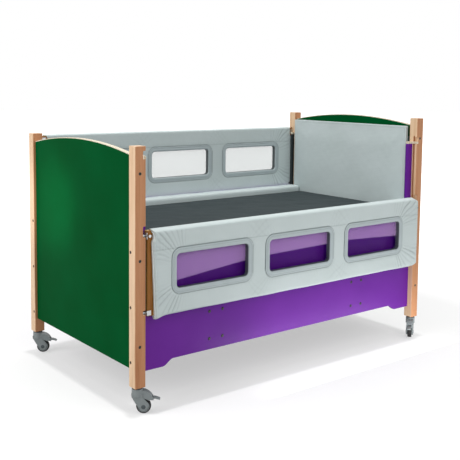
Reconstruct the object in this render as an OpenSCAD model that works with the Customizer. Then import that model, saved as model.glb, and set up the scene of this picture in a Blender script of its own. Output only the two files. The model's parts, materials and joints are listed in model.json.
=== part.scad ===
// Safety bed with drop sides, on four braked swivel casters.
// X runs along the bed from the foot end to the taller head end, Y from the front side to
// the back, Z up. The origin is on the floor under the middle of the bed. The front drop
// side is drawn lowered and the back one raised.

/* [Overall] */
// Length over the posts
bed_l = 2170; // [1900:5:2500]
// Width over the posts
bed_w = 1210; // [1000:5:1400]
// Height of a caster, from the floor to the foot of its post
caster_h = 135; // [125:1:170]

/* [Posts] */
// Side of the square posts
post_s = 60; // [56:1:80]
// Length of the two posts at the foot end
foot_post_l = 1205; // [1150:5:1400]
// Length of the two posts at the head end
head_post_l = 1305; // [1205:5:1500]
// Radius of the eased long edges of a post
post_ease = 3; // [1:0.5:5]
// Width of the groove that the pins of a drop side run in
groove_w = 14; // [13:0.5:16]
// Depth of that groove
groove_d = 12; // [11:0.5:16]
// Distance of the groove's middle from the outer side face of the post
groove_y = 21; // [17:0.5:26]
// Depth of the notches that open the groove to the outside
notch_d = 16; // [13:0.5:20]

/* [End panels] */
// Thickness of an end panel
end_t = 25; // [18:0.5:30]
// Distance of an end panel's outer face behind the end faces of the posts
end_recess = 15; // [5:1:20]
// Height of an end panel's lower edge above the foot of the posts
end_gap = 83; // [40:1:150]
// Drop from the top of the posts to the ends of the arch
arch_drop = 50; // [30:1:90]
// Height of the arch's crown above the top of the posts
arch_over = 4; // [0:1:30]
// Thickness of the pale strip along the arch
edge_strip = 4; // [2:0.5:6]

/* [Side panels] */
// Thickness of a side panel
side_t = 18; // [12:1:25]
// Distance of a side panel's outer face behind the outer side faces of the posts
side_recess = 36; // [36:1:38]
// Height of a side panel's top edge above the floor
side_top = 890; // [860:1:900]
// Height of its lower edge above the foot of the posts, next to the posts
side_gap = 67; // [40:1:120]
// How far the middle of the lower edge is raised
side_lift = 32; // [10:1:60]
// Length of the straight low stretch next to each post
side_low = 125; // [60:1:200]
// Length of each S-curve between the low and the raised stretch
side_curve = 66; // [40:1:120]

/* [Drop sides] */
// Height of a drop side
drop_h = 445; // [440:1:460]
// Height of its top edge above the floor when it is down
drop_top = 929; // [925:1:940]
// How far it moves from down to up
drop_travel = 400; // [392:1:405]
// Running gap between its end and the post
drop_gap = 12; // [11:0.5:16]
// Width of its end stiles
stile_w = 35; // [30:1:45]
// Height of its top and bottom rails
rail_h = 40; // [36:1:50]
// Width of the two uprights between the windows
mullion_w = 40; // [30:1:60]
// Thickness of the wooden frame
frame_t = 28; // [24:1:30]
// Padding in front of the wooden frame
pad_front = 26; // [15:1:30]
// Diameter of the guide pins and of the latch bolts
pin_d = 12; // [10:0.5:12.5]
// Drop from the top edge to the latch bolts
bolt_drop = 33; // [28:1:36]
// Height of the guide pins above the bottom edge
pin_rise = 24; // [20:1:28]
// How far a latch bolt draws back
bolt_stroke = 13; // [12.5:0.5:15]
// Width of the guide battens beside three of the posts
batten_slim_w = 20; // [12:1:25]
// Width of the guide batten beside the front head post
batten_wide_w = 42; // [20:1:60]

/* [Windows] */
// Clear width of a window
win_w = 466; // [400:1:500]
// Clear height of a window
win_h = 176; // [120:1:200]
// Drop from the top edge of the drop side to the clear opening
win_drop = 137; // [125:1:150]
// Distance between the middles of neighbouring windows
win_pitch = 620; // [600:1:640]
// Width of the moulded frame round a window
win_frame = 30; // [20:1:35]
// Radius of the corners of the clear opening
win_r = 22; // [10:1:40]
// Thickness of the clear sheet
win_t = 3; // [2:0.5:5]

/* [Bedding] */
// Thickness of the mattress
mattress_t = 120; // [80:5:140]
// Height of the mattress top above the floor
mattress_top = 865; // [840:1:900]
// Thickness of the cushion on each end panel
pad_t = 32; // [20:1:60]
// Clearance between the mattress and the padding round it
bedding_gap = 1; // [0.5:0.5:5]
// Thickness of the dark board behind that cushion
pad_board_t = 12; // [6:1:14]
// Drop from the top of the posts to the top of the end cushions
pad_drop = 53; // [50:1:90]
// Distance of the end cushions from the outer side faces
pad_inset = 78; // [65:1:120]
// Drop from the top of the posts to the top of the dark boards
board_drop = 120; // [90:1:200]
// Thickness of the padded liner along each side panel
liner_t = 98; // [60:1:98]

/* [Base] */
// Number of slats
slats = 14; // [8:1:18]
// Width of a slat
slat_w = 70; // [50:1:90]
// Thickness of a slat
slat_t = 12; // [8:1:18]
// Side of the two long bearer tubes
bearer_s = 40; // [30:1:50]
// Distance of the bearers from the middle of the bed
bearer_y = 300; // [200:5:380]
// Height of the cross beams
beam_h = 60; // [40:1:80]
// Width of the cross beams
beam_w = 40; // [30:1:60]
// Distance of the foot cross beam from the foot end
beam_foot = 526; // [400:1:700]
// Distance of the head cross beam from the head end
beam_head = 556; // [400:1:700]
// Spacing of the plate bolts along the bed
plate_dx = 88; // [70:1:120]
// Spacing of the plate bolts in height
plate_dz = 149; // [120:1:180]
// Height of the middle of the bolt plates above the floor
plate_z = 367; // [330:1:380]

/* [Fasteners] */
// Diameter of the frame bolts
bolt_d = 8; // [6:0.5:10]
// Diameter of the heads of the frame bolts
bolt_head = 16; // [14:0.5:18]
// Length of a frame bolt inside the panel it holds
bolt_grip = 40; // [25:1:60]

/* [Casters] */
// Diameter of a wheel
wheel_d = 75; // [60:1:80]
// Width of a tyre
wheel_w = 25; // [18:1:28]
// Distance of the wheel's middle from the swivel axis
trail = 32; // [20:1:36]
// Diameter of a caster's neck
neck_d = 57; // [50:1:60]
// Height of the black collar on top of the neck
collar_h = 8; // [5:1:12]
// Height of the neck
neck_h = 38; // [30:1:40]
// Width over the fork
fork_w = 46; // [44:1:56]
// Diameter of the axles
axle_d = 8; // [6:0.5:10]

/* [Hidden] */

$fn = 48;
foot = -1;
head = 1;
front = -1;
back = 1;
ends = [foot, head];
sides = [front, back];

beech = "#e3bf98";
green = "#005a26";
purple = "#5a2090";
cover_grey = "#b0babb";
frame_grey = "#98a4a6";
charcoal = "#434b4d";
black = "#1b1b1c";
steel = "#c9cbcc";
plastic_grey = "#8b8f90";
white = "#eceae2";

// Gap left between solids that meet along curved or soft faces
seat = 0.3;
// How much of a cushion's crown is pressed flat where it lies on what carries it
flat_cut = 2;
// How far the base of a cushion stands proud of its underside, and back from its edges
base_step = 0.5;
base_inset = 25;
// Small overlap of a cut past the face that it opens
cut = 1;

clear_x = bed_l / 2 - post_s;
clear_y = bed_w / 2 - post_s;
foot_top = caster_h + foot_post_l;
head_top = caster_h + head_post_l;
side_mid = side_recess + side_t / 2;
side_in = side_recess + side_t;
end_in = end_recess + end_t;

// Drop sides: cloth round the wooden frame, thickness of its cover, and pins behind its face
wrap = 8;
skin = 2.2;
pin_back = 17;
drop_bottom = drop_top - drop_h;
drop_half = clear_x - drop_gap;
bolt_z = drop_top - bolt_drop;
pin_z = drop_bottom + pin_rise;
frame_y = groove_y - pin_back;
frame_back = frame_y + frame_t;

// Plates that the latch bolts rest on, how far they pass the post, and the groove above them
rest_z = bolt_z + drop_travel - pin_d / 2;
rest_h = 14;
rest_lip = 2;
groove_over = 30;
groove_low = pin_z + (groove_w - pin_d) / 2 - seat;
groove_high = rest_z + groove_over;
// Floor and height of each notch
notch_top = [rest_z - rest_h, 41];
notch_mid = [bolt_z - pin_d / 2 - seat, 56];
notch_low = [pin_z - pin_d / 2 - seat, 22];
// The bolts and pins stop short of the groove's bottom
tip_gap = 2;
bolt_tip = clear_x + groove_d - tip_gap;
bracket_t = 4;

win_z = drop_top - win_drop - win_h / 2;
// Wall of a window frame through the padding, and thickness of its front and back flanges
win_wall = 5;
win_lip = 3.5;
win_flange = 0.9;

// Radial clearance of turning and sliding pins
pin_fit = 0.08;
// Clearance of bolts in their holes, round the shank, round the head and past the tip
shank_play = 0.4;
head_play = 1;
tip_play = 2;

base_z = mattress_top - mattress_t;
pad_face = bed_l / 2 - end_in - pad_board_t - pad_t - 2 * seat;
liner_face = bed_w / 2 - side_in - liner_t - 2 * seat;
mattress_l = 2 * (pad_face - bedding_gap);
mattress_w = 2 * (liner_face - bedding_gap);
slat_l = mattress_w;
bearer_top = base_z - slat_t;
beams_x = [-bed_l / 2 + beam_foot, bed_l / 2 - beam_head];
plate_t = 5;
tube_wall = 2.5;

// Heights of the frame bolts above the foot of the posts. The end bolts go through the posts
// into the side panels, the side bolts into the end panels
end_bolt_z = [681, 403, 124];
side_bolt_low = 209;
side_bolt_drop = [134, 130];
side_bolt_mid = [37.5, 70];
side_bolt_foot = [foot_post_l - side_bolt_drop[0], foot_post_l / 2 + side_bolt_mid[0], side_bolt_low];
side_bolt_head = [head_post_l - side_bolt_drop[1], head_post_l / 2 + side_bolt_mid[1], side_bolt_low];

// End, side and heading of each caster's trailing wheel
casters = [[foot, front, -36], [foot, back, -36], [head, front, -144], [head, back, 144]];

// Places its children in a corner of the bed, measured inward from the outer faces of the post
module corner(end, side) {
    translate([end * bed_l / 2, side * bed_w / 2, 0])
        mirror([end > 0 ? 1 : 0, 0, 0]) mirror([0, side > 0 ? 1 : 0, 0]) children();
}

// Places its children on one long side, with y measured inward from the face of the posts
module on_side(side) {
    translate([0, side * bed_w / 2, 0]) mirror([0, side > 0 ? 1 : 0, 0]) children();
}

// Places its children at one end, with x measured inward from the end faces of the posts
module on_end(end) {
    translate([end * bed_l / 2, 0, 0]) mirror([end > 0 ? 1 : 0, 0, 0]) children();
}

module round_rect(w, h, r) {
    square([w - 2 * r, h], center = true);
    square([w, h - 2 * r], center = true);
    for (x = [-1, 1], y = [-1, 1]) translate([x * (w / 2 - r), y * (h / 2 - r)]) circle(r);
}

// A plate in the XZ plane, with its outer face at y and its thickness inward
module side_plate(y, t) {
    translate([0, y + t, 0]) rotate([90, 0, 0]) linear_extrude(t) children();
}

// Soft forms: a crowned, round-edged slab on a grid that is finer near its edges.
// size is length, width and thickness, power the squareness of each direction.
function spread(i, n) = sin(90 * (2 * i / n - 1));
function bulge(t, p) = pow(max(0, 1 - pow(abs(t), p)), 1 / p);
function pull(t, amount) = 1 - amount * (1 - pow(abs(t), 2));

module cushion(size, power, grid, draw = 0.004, flat = 0) {
    nx = grid[0];
    ny = grid[1];
    top = [for (i = [0 : nx], j = [0 : ny])
        let (u = spread(i, nx), v = spread(j, ny))
        [size[0] / 2 * u * pull(v, draw), size[1] / 2 * v * pull(u, draw),
            size[2] / 2 * bulge(u, power[0]) * bulge(v, power[1])]];
    inner = [for (i = [1 : nx - 1], j = [1 : ny - 1]) let (p = top[i * (ny + 1) + j])
        [p[0], p[1], -min(p[2], size[2] / 2 - flat)]];
    n_top = (nx + 1) * (ny + 1);
    edge = function(i, j) i == 0 || j == 0 || i == nx || j == ny;
    low = function(i, j) edge(i, j) ? i * (ny + 1) + j : n_top + (i - 1) * (ny - 1) + j - 1;
    up = function(i, j) i * (ny + 1) + j;
    around = function(at, i, j) [at(i, j), at(i, j + 1), at(i + 1, j + 1), at(i + 1, j)];
    // Each cell is split from the slab's corner inward, so that no rim corner folds flat
    half = function(q, k, turn) turn ? (k == 0 ? [q[0], q[1], q[3]] : [q[1], q[2], q[3]])
        : (k == 0 ? [q[0], q[1], q[2]] : [q[0], q[2], q[3]]);
    turned = function(i, j) (i < nx / 2) != (j < ny / 2);
    faces = [for (i = [0 : nx - 1], j = [0 : ny - 1], k = [0, 1]) half(around(up, i, j), k, turned(i, j))];
    under = [for (i = [0 : nx - 1], j = [0 : ny - 1], k = [0, 1])
        let (t = half(around(low, i, j), k, turned(i, j))) [t[2], t[1], t[0]]];
    polyhedron(concat(top, inner), concat(faces, under));
}

// The same slab with its underside pressed flat, on the thin base that it is upholstered on
module flat_cushion(size, power, grid, draw = 0.004) {
    translate([base_inset - size[0] / 2, base_inset - size[1] / 2, -size[2] / 2])
        cube([size[0] - 2 * base_inset, size[1] - 2 * base_inset, 3]);
    translate([0, 0, (base_step - flat_cut) / 2])
        cushion([size[0], size[1], size[2] - base_step + flat_cut], power, grid, draw, flat_cut);
}

// Posts, with the pin groove, its notches, the bolt holes and the caster socket
module notch(z, h) {
    translate([post_s - notch_d, -cut, z]) cube([notch_d + cut, groove_y + groove_w / 2 + cut, h - notch_d / 2]);
    translate([post_s, -cut, z + h - notch_d / 2]) rotate([-90, 0, 0])
        linear_extrude(groove_y + groove_w / 2 + cut)
            intersection() {
                circle(notch_d);
                translate([-notch_d, -notch_d / 2]) square([notch_d + cut, notch_d / 2]);
            }
}

module post(len, side_bolts) {
    color(beech) difference() {
        translate([post_s / 2, post_s / 2, caster_h]) linear_extrude(len) round_rect(post_s, post_s, post_ease);
        translate([post_s - groove_d, groove_y - groove_w / 2, groove_low])
            cube([groove_d + cut, groove_w, groove_high - groove_low]);
        for (z = [groove_low, groove_high])
            translate([post_s - groove_d, groove_y, z]) rotate([0, 90, 0]) cylinder(h = groove_d + cut, d = groove_w);
        notch(notch_top[0], notch_top[1]);
        notch(notch_mid[0], notch_mid[1]);
        notch(notch_low[0], notch_low[1]);
        for (z = side_bolts) translate([end_recess + end_t / 2, -cut, caster_h + z]) rotate([-90, 0, 0]) bolt_hole();
        for (z = end_bolt_z) translate([-cut, side_mid, caster_h + z]) rotate([0, 90, 0]) bolt_hole();
        translate([post_s / 2, post_s / 2, caster_h - cut]) cylinder(h = stem_l + tip_play + cut, d = stem_d + 2 * pin_fit);
    }
}

// Frame bolts, sunk into the outer faces of the posts
head_sink = 9;
head_deep = 2;
stem_d = 22;
stem_l = 70;
socket_d = 6;
socket_h = 5;

module bolt_hole() {
    cylinder(h = head_sink + cut, d = bolt_head + head_play);
    cylinder(h = post_s + 2 * cut, d = bolt_d + shank_play);
}

module frame_bolt() {
    difference() {
        translate([0, 0, head_deep]) {
            cylinder(h = head_sink - head_deep, d = bolt_head);
            cylinder(h = post_s + bolt_grip - head_deep, d = bolt_d);
        }
        translate([0, 0, head_deep - cut]) cylinder(h = socket_h + cut, d = socket_d, $fn = 6);
    }
}

module frame_bolts() {
    color(black) for (end = ends, side = sides) corner(end, side) {
        for (z = end == foot ? side_bolt_foot : side_bolt_head)
            translate([end_recess + end_t / 2, 0, caster_h + z]) rotate([-90, 0, 0]) frame_bolt();
        for (z = end_bolt_z) translate([0, side_mid, caster_h + z]) rotate([0, 90, 0]) frame_bolt();
    }
}

// End panels: boards with an arched top between the posts
arch_rise = arch_drop + arch_over - edge_strip;
arch_r = (pow(clear_y, 2) + pow(arch_rise, 2)) / (2 * arch_rise);

module arch_shape(top, r) {
    intersection() {
        translate([-clear_y, caster_h + end_gap]) square([2 * clear_y, top - end_gap - caster_h + 2 * arch_over + arch_rise]);
        translate([0, top + arch_over - edge_strip - arch_r]) union() {
            circle(r, $fn = 360);
            translate([-clear_y, caster_h + end_gap - top + arch_r - arch_rise])
                square([2 * clear_y, top - arch_drop - caster_h - end_gap]);
        }
    }
}

module upright(x, t) {
    translate([x, 0, 0]) rotate([90, 0, 90]) linear_extrude(t) children();
}

module end_panel(end, top) {
    bolts = end == foot ? side_bolt_foot : side_bolt_head;
    color(green) on_end(end) difference() {
        upright(end_recess, end_t) arch_shape(top, arch_r);
        for (side = sides, z = bolts)
            translate([end_recess + end_t / 2, side * (clear_y + cut), caster_h + z]) rotate([side * 90, 0, 0])
                cylinder(h = bolt_grip + tip_play + cut, d = bolt_d + shank_play);
    }
}

module arch_strips() {
    color(white) for (end = ends) on_end(end) upright(end_recess, end_t)
        difference() {
            intersection() {
                translate([-clear_y, arch_foot(end)]) square([2 * clear_y, arch_drop + 2 * arch_over + edge_strip]);
                translate([0, arch_mid(end)]) circle(arch_r + edge_strip, $fn = 360);
            }
            translate([0, arch_mid(end)]) circle(arch_r, $fn = 360);
        }
}

function post_top(end) = end == foot ? foot_top : head_top;
function arch_foot(end) = post_top(end) - arch_drop;
function arch_mid(end) = post_top(end) + arch_over - edge_strip - arch_r;

// Side panels: the lower edge drops in an S-curve towards each post
function ease(t) = (1 - cos(180 * t)) / 2;
curve_steps = 12;

module side_panel(side) {
    low = caster_h + side_gap;
    curve = [for (i = [0 : curve_steps])
        [-clear_x + side_low + side_curve * i / curve_steps, low + side_lift * ease(i / curve_steps)]];
    mirrored = [for (i = [curve_steps : -1 : 0]) [-curve[i][0], curve[i][1]]];
    color(purple) on_side(side) difference() {
        side_plate(side_recess, side_t) polygon(concat([[-clear_x, side_top], [-clear_x, low]], curve, mirrored,
            [[clear_x, low], [clear_x, side_top]]));
        for (x = beams_x, dx = [-1, 1], dz = [-1, 1])
            translate([x + dx * plate_dx / 2, side_recess - cut, plate_z + dz * plate_dz / 2]) rotate([-90, 0, 0])
                cylinder(h = side_t + 2 * cut, d = bolt_d + shank_play);
        for (end = ends, z = end_bolt_z)
            translate([end * (clear_x + cut), side_mid, caster_h + z]) rotate([0, -end * 90, 0])
                cylinder(h = bolt_grip + tip_play + cut, d = bolt_d + shank_play);
    }
}

// Battens on the posts that keep a raised side from being pushed inward
function batten_w(end, side) = end == head && side == front ? batten_wide_w : batten_slim_w;

module guide_battens() {
    color(purple) for (end = ends, side = sides) corner(end, side)
        translate([post_s, side_recess, side_top]) cube([batten_w(end, side), side_t, notch_top[0] - side_top]);
}

// Rest blocks: the latch bolts of a raised side lie on them
rest_back = 1;

module rest_blocks() {
    groove_end = groove_y + groove_w / 2;
    color(white) for (end = ends, side = sides) corner(end, side)
        translate([post_s, 0, notch_top[0]]) linear_extrude(rest_h - seat)
            polygon([[-notch_d, rest_back], [rest_lip, rest_back], [rest_lip, side_recess], [batten_w(end, side), side_recess],
                [batten_w(end, side), side_in], [0, side_in], [0, groove_end], [-notch_d, groove_end]]);
}

// Plates, beams and uprights that carry the mattress base between the side panels
beam_y = bed_w / 2 - side_in;
plate_edge = 14;
plate_r = 8;

module tube(w, h) {
    difference() {
        square([w, h], center = true);
        square([w - 2 * tube_wall, h - 2 * tube_wall], center = true);
    }
}

module cross_beams() {
    color(steel) for (x = beams_x) {
        translate([x, 0, plate_z]) rotate([90, 0, 0]) linear_extrude(2 * (beam_y - plate_t), center = true)
            tube(beam_w, beam_h);
        for (side = sides) on_side(side) difference() {
            translate([x, 0, plate_z]) side_plate(side_in, plate_t)
                round_rect(plate_dx + 2 * plate_edge, plate_dz + 2 * plate_edge, plate_r);
            for (dx = [-1, 1], dz = [-1, 1])
                translate([x + dx * plate_dx / 2, side_in - cut, plate_z + dz * plate_dz / 2]) rotate([-90, 0, 0])
                    cylinder(h = plate_t + 2 * cut, d = bolt_d + shank_play);
        }
    }
}

// Their domed heads are outside the side panel and their nuts inside it
dome_h = 4;
dome_taper = 7;
nut_h = 6.5;
nut_d = 1.8 * bolt_d;
bolt_end = 9;

module plate_bolts() {
    color(black) for (side = sides, x = beams_x, dx = [-1, 1], dz = [-1, 1]) on_side(side)
        translate([x + dx * plate_dx / 2, side_recess, plate_z + dz * plate_dz / 2]) rotate([-90, 0, 0]) {
            translate([0, 0, -dome_h]) cylinder(h = dome_h, d1 = bolt_head + 2 - dome_taper, d2 = bolt_head + 2);
            cylinder(h = side_t + plate_t + bolt_end, d = bolt_d);
            translate([0, 0, side_t + plate_t]) cylinder(h = nut_h, d = nut_d, $fn = 6);
        }
}

module support_posts() {
    color(steel) for (x = beams_x, side = sides)
        translate([x, side * bearer_y, plate_z + beam_h / 2])
            linear_extrude(bearer_top - bearer_s - plate_z - beam_h / 2) tube(beam_w, beam_w);
}

module bearers() {
    color(steel) for (side = sides)
        translate([0, side * bearer_y, bearer_top - bearer_s / 2]) rotate([90, 0, 90])
            linear_extrude(mattress_l, center = true) tube(bearer_s, bearer_s);
}

module slats() {
    pitch = (mattress_l - slat_w) / (slats - 1);
    color(beech) for (i = [0 : slats - 1])
        translate([-mattress_l / 2 + slat_w / 2 + i * pitch, 0, bearer_top + slat_t / 2]) rotate([90, 0, 0])
            linear_extrude(slat_l, center = true) round_rect(slat_w, slat_t, slat_t / 3);
}

// Padding on the ends and along the sides, and the mattress
board_y = clear_y - 2;

module pad_board(end) {
    color(charcoal) on_end(end) translate([end_in, -board_y, base_z])
        cube([pad_board_t, 2 * board_y, post_top(end) - board_drop - base_z]);
}

module end_pad(end) {
    h = post_top(end) - pad_drop - base_z;
    color(cover_grey) on_end(end) translate([end_in + pad_board_t + pad_t / 2 + seat, 0, base_z + h / 2])
        rotate([0, 90, 0]) flat_cushion([h, bed_w - 2 * pad_inset, pad_t], [14, 20], [12, 14]);
}

liner_rise = 2;

module liner(side) {
    h = side_top + liner_rise - base_z;
    color(cover_grey) on_side(side) translate([0, side_in + seat + liner_t / 2, base_z + h / 2])
        flat_cushion([mattress_l, liner_t, h], [60, 5], [16, 10], 0.001);
}

module mattress() {
    color(charcoal) translate([0, 0, base_z + mattress_t / 2])
        flat_cushion([mattress_l, mattress_w, mattress_t], [22, 12], [20, 12], 0.003);
}

// Wooden frame of a drop side, tenoned into its stiles
tenon_t = 10;
tenon_l = 8;
tenon_step = 6;
knob_slot = 8;
pin_hold = 9;

module raise(side) {
    translate([0, 0, side == back ? drop_travel : 0]) children();
}

module tenon(x, z) {
    translate([x, frame_y + (frame_t - tenon_t) / 2, z - rail_h / 2 + tenon_step])
        cube([tenon_l, tenon_t, rail_h - 2 * tenon_step]);
}

rail_z = [drop_bottom + wrap + rail_h / 2, drop_top - wrap - rail_h / 2];
knob_y = frame_y - 5;
knob_x = drop_half - 8;

module stile() {
    x = drop_half - stile_w;
    difference() {
        translate([x, frame_y, drop_bottom + wrap]) cube([stile_w, frame_t, drop_h - 2 * wrap]);
        for (z = rail_z) tenon(x, z);
        translate([x + tenon_l, groove_y, bolt_z]) rotate([0, 90, 0]) cylinder(h = stile_w, d = pin_d + 2 * pin_fit);
        translate([x + stile_w - pin_hold, groove_y, pin_z]) rotate([0, 90, 0]) cylinder(h = pin_hold + cut, d = pin_d);
        translate([knob_x - bolt_stroke - knob_slot / 2, frame_y - cut, bolt_z - knob_slot / 2])
            cube([bolt_stroke + knob_slot, groove_y - frame_y + cut, knob_slot]);
    }
}

module stiles(side) {
    color(beech) on_side(side) raise(side) for (end = ends) mirror([end < 0 ? 1 : 0, 0, 0]) stile();
}

module rails(side) {
    x = drop_half - stile_w;
    color(beech) on_side(side) raise(side) {
        for (z = rail_z) {
            translate([-x, frame_y, z - rail_h / 2]) cube([2 * x, frame_t, rail_h]);
            for (end = ends) mirror([end < 0 ? 1 : 0, 0, 0]) tenon(x, z);
        }
        for (x = [-1, 1]) translate([x * win_pitch / 2 - mullion_w / 2, frame_y, rail_z[0] + rail_h / 2])
            cube([mullion_w, frame_t, rail_z[1] - rail_z[0] - rail_h]);
    }
}

// Padded cover: a sleeve over the frame, open at its ends, with an opening for each window
cover_inset = 26;
cover_y = frame_y - pad_front;
cover_back = frame_back + skin;

module window_shape(grow) {
    translate([0, win_z]) round_rect(win_w + 2 * grow, win_h + 2 * grow, win_r + grow);
}

module windows_at() {
    for (i = [-1 : 1]) translate([i * win_pitch, 0, 0]) children();
}

// Its ends are cut back round the fittings: reach, height below and height above each of them
sleeve_back = 6;
cut_top = [28, 20, 40];
cut_low = [12, 30, 18];

module fitting_cut(z, size, l) {
    translate([l / 2 - size[0], cover_y - wrap, z - size[1]])
        cube([size[0] + wrap, cover_back - cover_y + 2 * wrap, size[1] + size[2]]);
}

module cover(side) {
    l = 2 * (clear_x - cover_inset);
    hollow = wrap - seat;
    color(cover_grey) on_side(side) raise(side) difference() {
        union() {
            translate([0, (cover_y + frame_back) / 2, drop_bottom + drop_h / 2]) rotate([90, 0, 0])
                cushion([l, drop_h, frame_back - cover_y], [50, 9], [26, 14], 0.0015);
            translate([sleeve_back - l / 2, frame_y, drop_bottom + hollow - skin])
                cube([l - 2 * sleeve_back, frame_t + skin, drop_h - 2 * (hollow - skin)]);
        }
        translate([-l, frame_y - seat, drop_bottom + hollow])
            cube([2 * l, frame_t + 2 * seat, drop_h - 2 * hollow]);
        windows_at() {
            side_plate(cover_y - wrap, cover_back - cover_y + 2 * wrap) window_shape(win_wall + seat);
            side_plate(cover_y - wrap, wrap + win_lip + seat) window_shape(win_frame + seat);
            side_plate(cover_back - win_flange - seat, wrap) window_shape(win_frame + seat);
        }
        for (end = ends) mirror([end < 0 ? 1 : 0, 0, 0]) {
            fitting_cut(bolt_z, cut_top, l);
            fitting_cut(pin_z, cut_low, l);
        }
    }
}

// Moulded window frames: a sleeve through the padding with a lip on each face
sheet_y = frame_y - 1;
sheet_hold = 2;
lip_back = 0.5;

module window_frames(side) {
    color(frame_grey) on_side(side) raise(side) windows_at() difference() {
        union() {
            side_plate(cover_y + lip_back, cover_back - cover_y - lip_back) window_shape(win_wall);
            side_plate(cover_y + lip_back, win_lip - lip_back) window_shape(win_frame);
            side_plate(cover_back - win_flange, win_flange) window_shape(win_frame);
        }
        side_plate(cover_y - cut, cover_back - cover_y + 2 * cut) window_shape(0);
        side_plate(sheet_y - cut, win_t + 2 * cut) window_shape(sheet_hold);
    }
}

module windows(side) {
    color("#dfe8ea", 0.4) on_side(side) raise(side) windows_at()
        side_plate(sheet_y, win_t) window_shape(sheet_hold - seat);
}

// End fittings of a drop side
bracket_l = 20;
bolt_plate_h = 32;
pin_plate_h = 24;
seal_w = 16;
seal_low = 16;
seal_high = 22;

module end_plate(z, h) {
    translate([drop_half, frame_y, z - h / 2]) cube([bracket_t, frame_t, h]);
    translate([drop_half - bracket_l, frame_back, z - h / 2]) cube([bracket_l + bracket_t, skin, h]);
}

module end_brackets(side) {
    color(steel) on_side(side) raise(side) for (end = ends) mirror([end < 0 ? 1 : 0, 0, 0]) {
        difference() {
            end_plate(bolt_z, bolt_plate_h);
            translate([drop_half - cut, groove_y, bolt_z]) rotate([0, 90, 0])
                cylinder(h = bracket_t + 2 * cut, d = pin_d + 2 * pin_fit);
        }
        end_plate(pin_z, pin_plate_h);
        translate([drop_half - pin_hold, groove_y, pin_z]) rotate([0, 90, 0])
            cylinder(h = bolt_tip - drop_half + pin_hold, d = pin_d);
        translate([drop_half - bracket_l, frame_y - 3, pin_z - pin_plate_h / 2])
            cube([bracket_l + bracket_t, 3, pin_plate_h]);
    }
}

module end_seals(side) {
    color(black) on_side(side) raise(side) for (end = ends) mirror([end < 0 ? 1 : 0, 0, 0])
        translate([drop_half, groove_y - seal_w / 2, pin_z + seal_low])
            cube([drop_gap - 1, seal_w, bolt_z - seal_high - pin_z - seal_low]);
}

knob_d = 15;
knob_pin_d = 7;
knob_h = 7;

module latch(side, end) {
    bolt_back = drop_half - stile_w + tenon_l + bolt_stroke + 1;
    color(steel) on_side(side) raise(side) mirror([end < 0 ? 1 : 0, 0, 0]) {
        translate([bolt_back, groove_y, bolt_z]) rotate([0, 90, 0]) cylinder(h = bolt_tip - bolt_back, d = pin_d);
        translate([knob_x, groove_y, bolt_z]) rotate([90, 0, 0]) cylinder(h = groove_y - knob_y + 1, d = knob_pin_d);
        translate([knob_x, knob_y, bolt_z]) rotate([90, 0, 0]) cylinder(h = knob_h, d1 = knob_d - 2, d2 = knob_d);
    }
}

// Casters: local x points along the trailing arm
module at_caster(c) {
    corner_x = c[0] * (bed_l / 2 - post_s / 2);
    corner_y = c[1] * (bed_w / 2 - post_s / 2);
    translate([corner_x, corner_y, 0]) rotate([0, 0, c[2]]) children();
}

neck_top = caster_h - collar_h - seat;
neck_bevel = 5;
wheel_r = wheel_d / 2;
leg_r = wheel_r - 8;
cheek_h = 14;

module caster_sockets() {
    color(black) for (c = casters) at_caster(c) translate([0, 0, caster_h - collar_h]) {
        cylinder(h = collar_h, d = neck_d - 2);
        cylinder(h = collar_h + stem_l, d = stem_d);
    }
}

// Outline of a fork leg in its own plane, from the neck down to the hub
module leg_shape() {
    neck_low = neck_top - neck_h;
    translate([trail, wheel_r]) circle(leg_r);
    polygon([[-neck_d / 2, neck_low + cheek_h], [2 - neck_d / 2, neck_low],
        [trail - leg_r * 0.94, wheel_r - leg_r * 0.34], [trail + leg_r * 0.8, wheel_r + leg_r * 0.6],
        [neck_d / 2 - 2, neck_low], [neck_d / 2, neck_low + cheek_h]]);
}

// Hood over the back of the wheel: its reach, its lower edge above the axle and its middle
hood_tip = 88;
hood_low = 34;
hood_mid = [-14, 16];
hood_r = neck_top - wheel_r - 22;
wheel_gap = 3.5;

module wheel_room() {
    translate([trail, wheel_r]) circle(r = wheel_r + wheel_gap, $fn = 96);
}

module hood_shape() {
    difference() {
        intersection() {
            translate([trail + hood_mid[0], wheel_r + hood_mid[1]]) circle(r = hood_r, $fn = 96);
            translate([0, wheel_r + hood_low]) square([hood_tip, neck_top]);
        }
        wheel_room();
    }
}

module across(w) {
    rotate([90, 0, 0]) linear_extrude(w, center = true) children();
}

pedal_x = trail + 36;
pedal_z = wheel_r + 42;
pedal_w = wheel_w - 3;
pedal_pin = 5;
pedal_room = 14;
hood_w = fork_w - 6;
boss_w = pedal_w - 4;
boss_r = 7;
nose_r = 5;
nose_out = norm([pedal_x - trail, pedal_z - wheel_r]) - wheel_r - nose_r - seat;
nose_turn = atan2(pedal_z - wheel_r, pedal_x - trail);

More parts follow.
